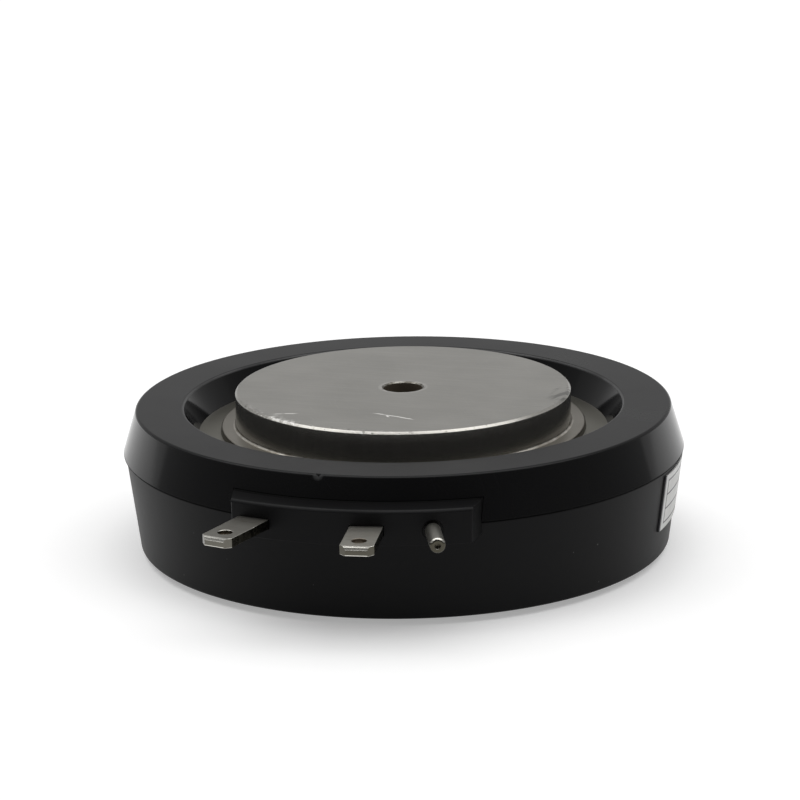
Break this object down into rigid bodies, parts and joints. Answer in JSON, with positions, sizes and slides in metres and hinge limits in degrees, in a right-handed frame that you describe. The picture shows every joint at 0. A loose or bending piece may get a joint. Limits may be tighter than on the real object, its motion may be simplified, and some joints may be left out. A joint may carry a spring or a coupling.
{
  "type": "disc thyristor",
  "caption": "Flat round press-pack thyristor: black moulded housing, raised nickel-plated contact face on each side, tab and pin gate terminals at one edge.",
  "frame": {"origin": "centre of the anode contact face, on the axis of the disc", "axes": "+Z along the axis from the anode face to the cathode face; the terminal block looks along -Y"},
  "size_m": [0.05, 0.0574, 0.0142],
  "materials": {
    "housing_plastic": "black moulded thermoset, satin with a slight gloss",
    "nickel_plating": "nickel-plated copper, finely turned and scuffed",
    "flange_nickel": "nickel-plated sheet, dull and slightly warm",
    "tinned_terminal": "tinned brass, dull",
    "label_paper": "white film sticker, blank",
    "molybdenum": "lapped molybdenum",
    "silicon": "polished silicon",
    "silicone_coating": "cured silicone",
    "ptfe": "white PTFE",
    "alumina": "unglazed ceramic",
    "silver_contact": "silver-plated wire and contact",
    "spring_steel": "spring wire"
  },
  "bodies": {
    "root": {"lower_housing_cup": "housing_plastic", "upper_housing_ring": "housing_plastic", "anode_pole_piece": "nickel_plating", "cathode_pole_piece": "nickel_plating", "anode_seal_flange": "flange_nickel", "cathode_seal_flange": "flange_nickel", "auxiliary_cathode_tab": "tinned_terminal", "gate_tab": "tinned_terminal", "round_gate_pin": "tinned_terminal", "gate_link_strip": "tinned_terminal", "rating_label": "label_paper", "anode_molybdenum_disc": "molybdenum", "cathode_molybdenum_disc": "molybdenum", "silicon_wafer": "silicon", "wafer_edge_coating": "silicone_coating", "wafer_locating_ring": "ptfe", "gate_lead_sleeve": "ptfe", "gate_insulating_bush": "alumina", "gate_contact_pin": "silver_contact", "gate_lead": "silver_contact", "auxiliary_cathode_lead": "silver_contact", "gate_spring": "spring_steel"}
  },
  "joints": []
}
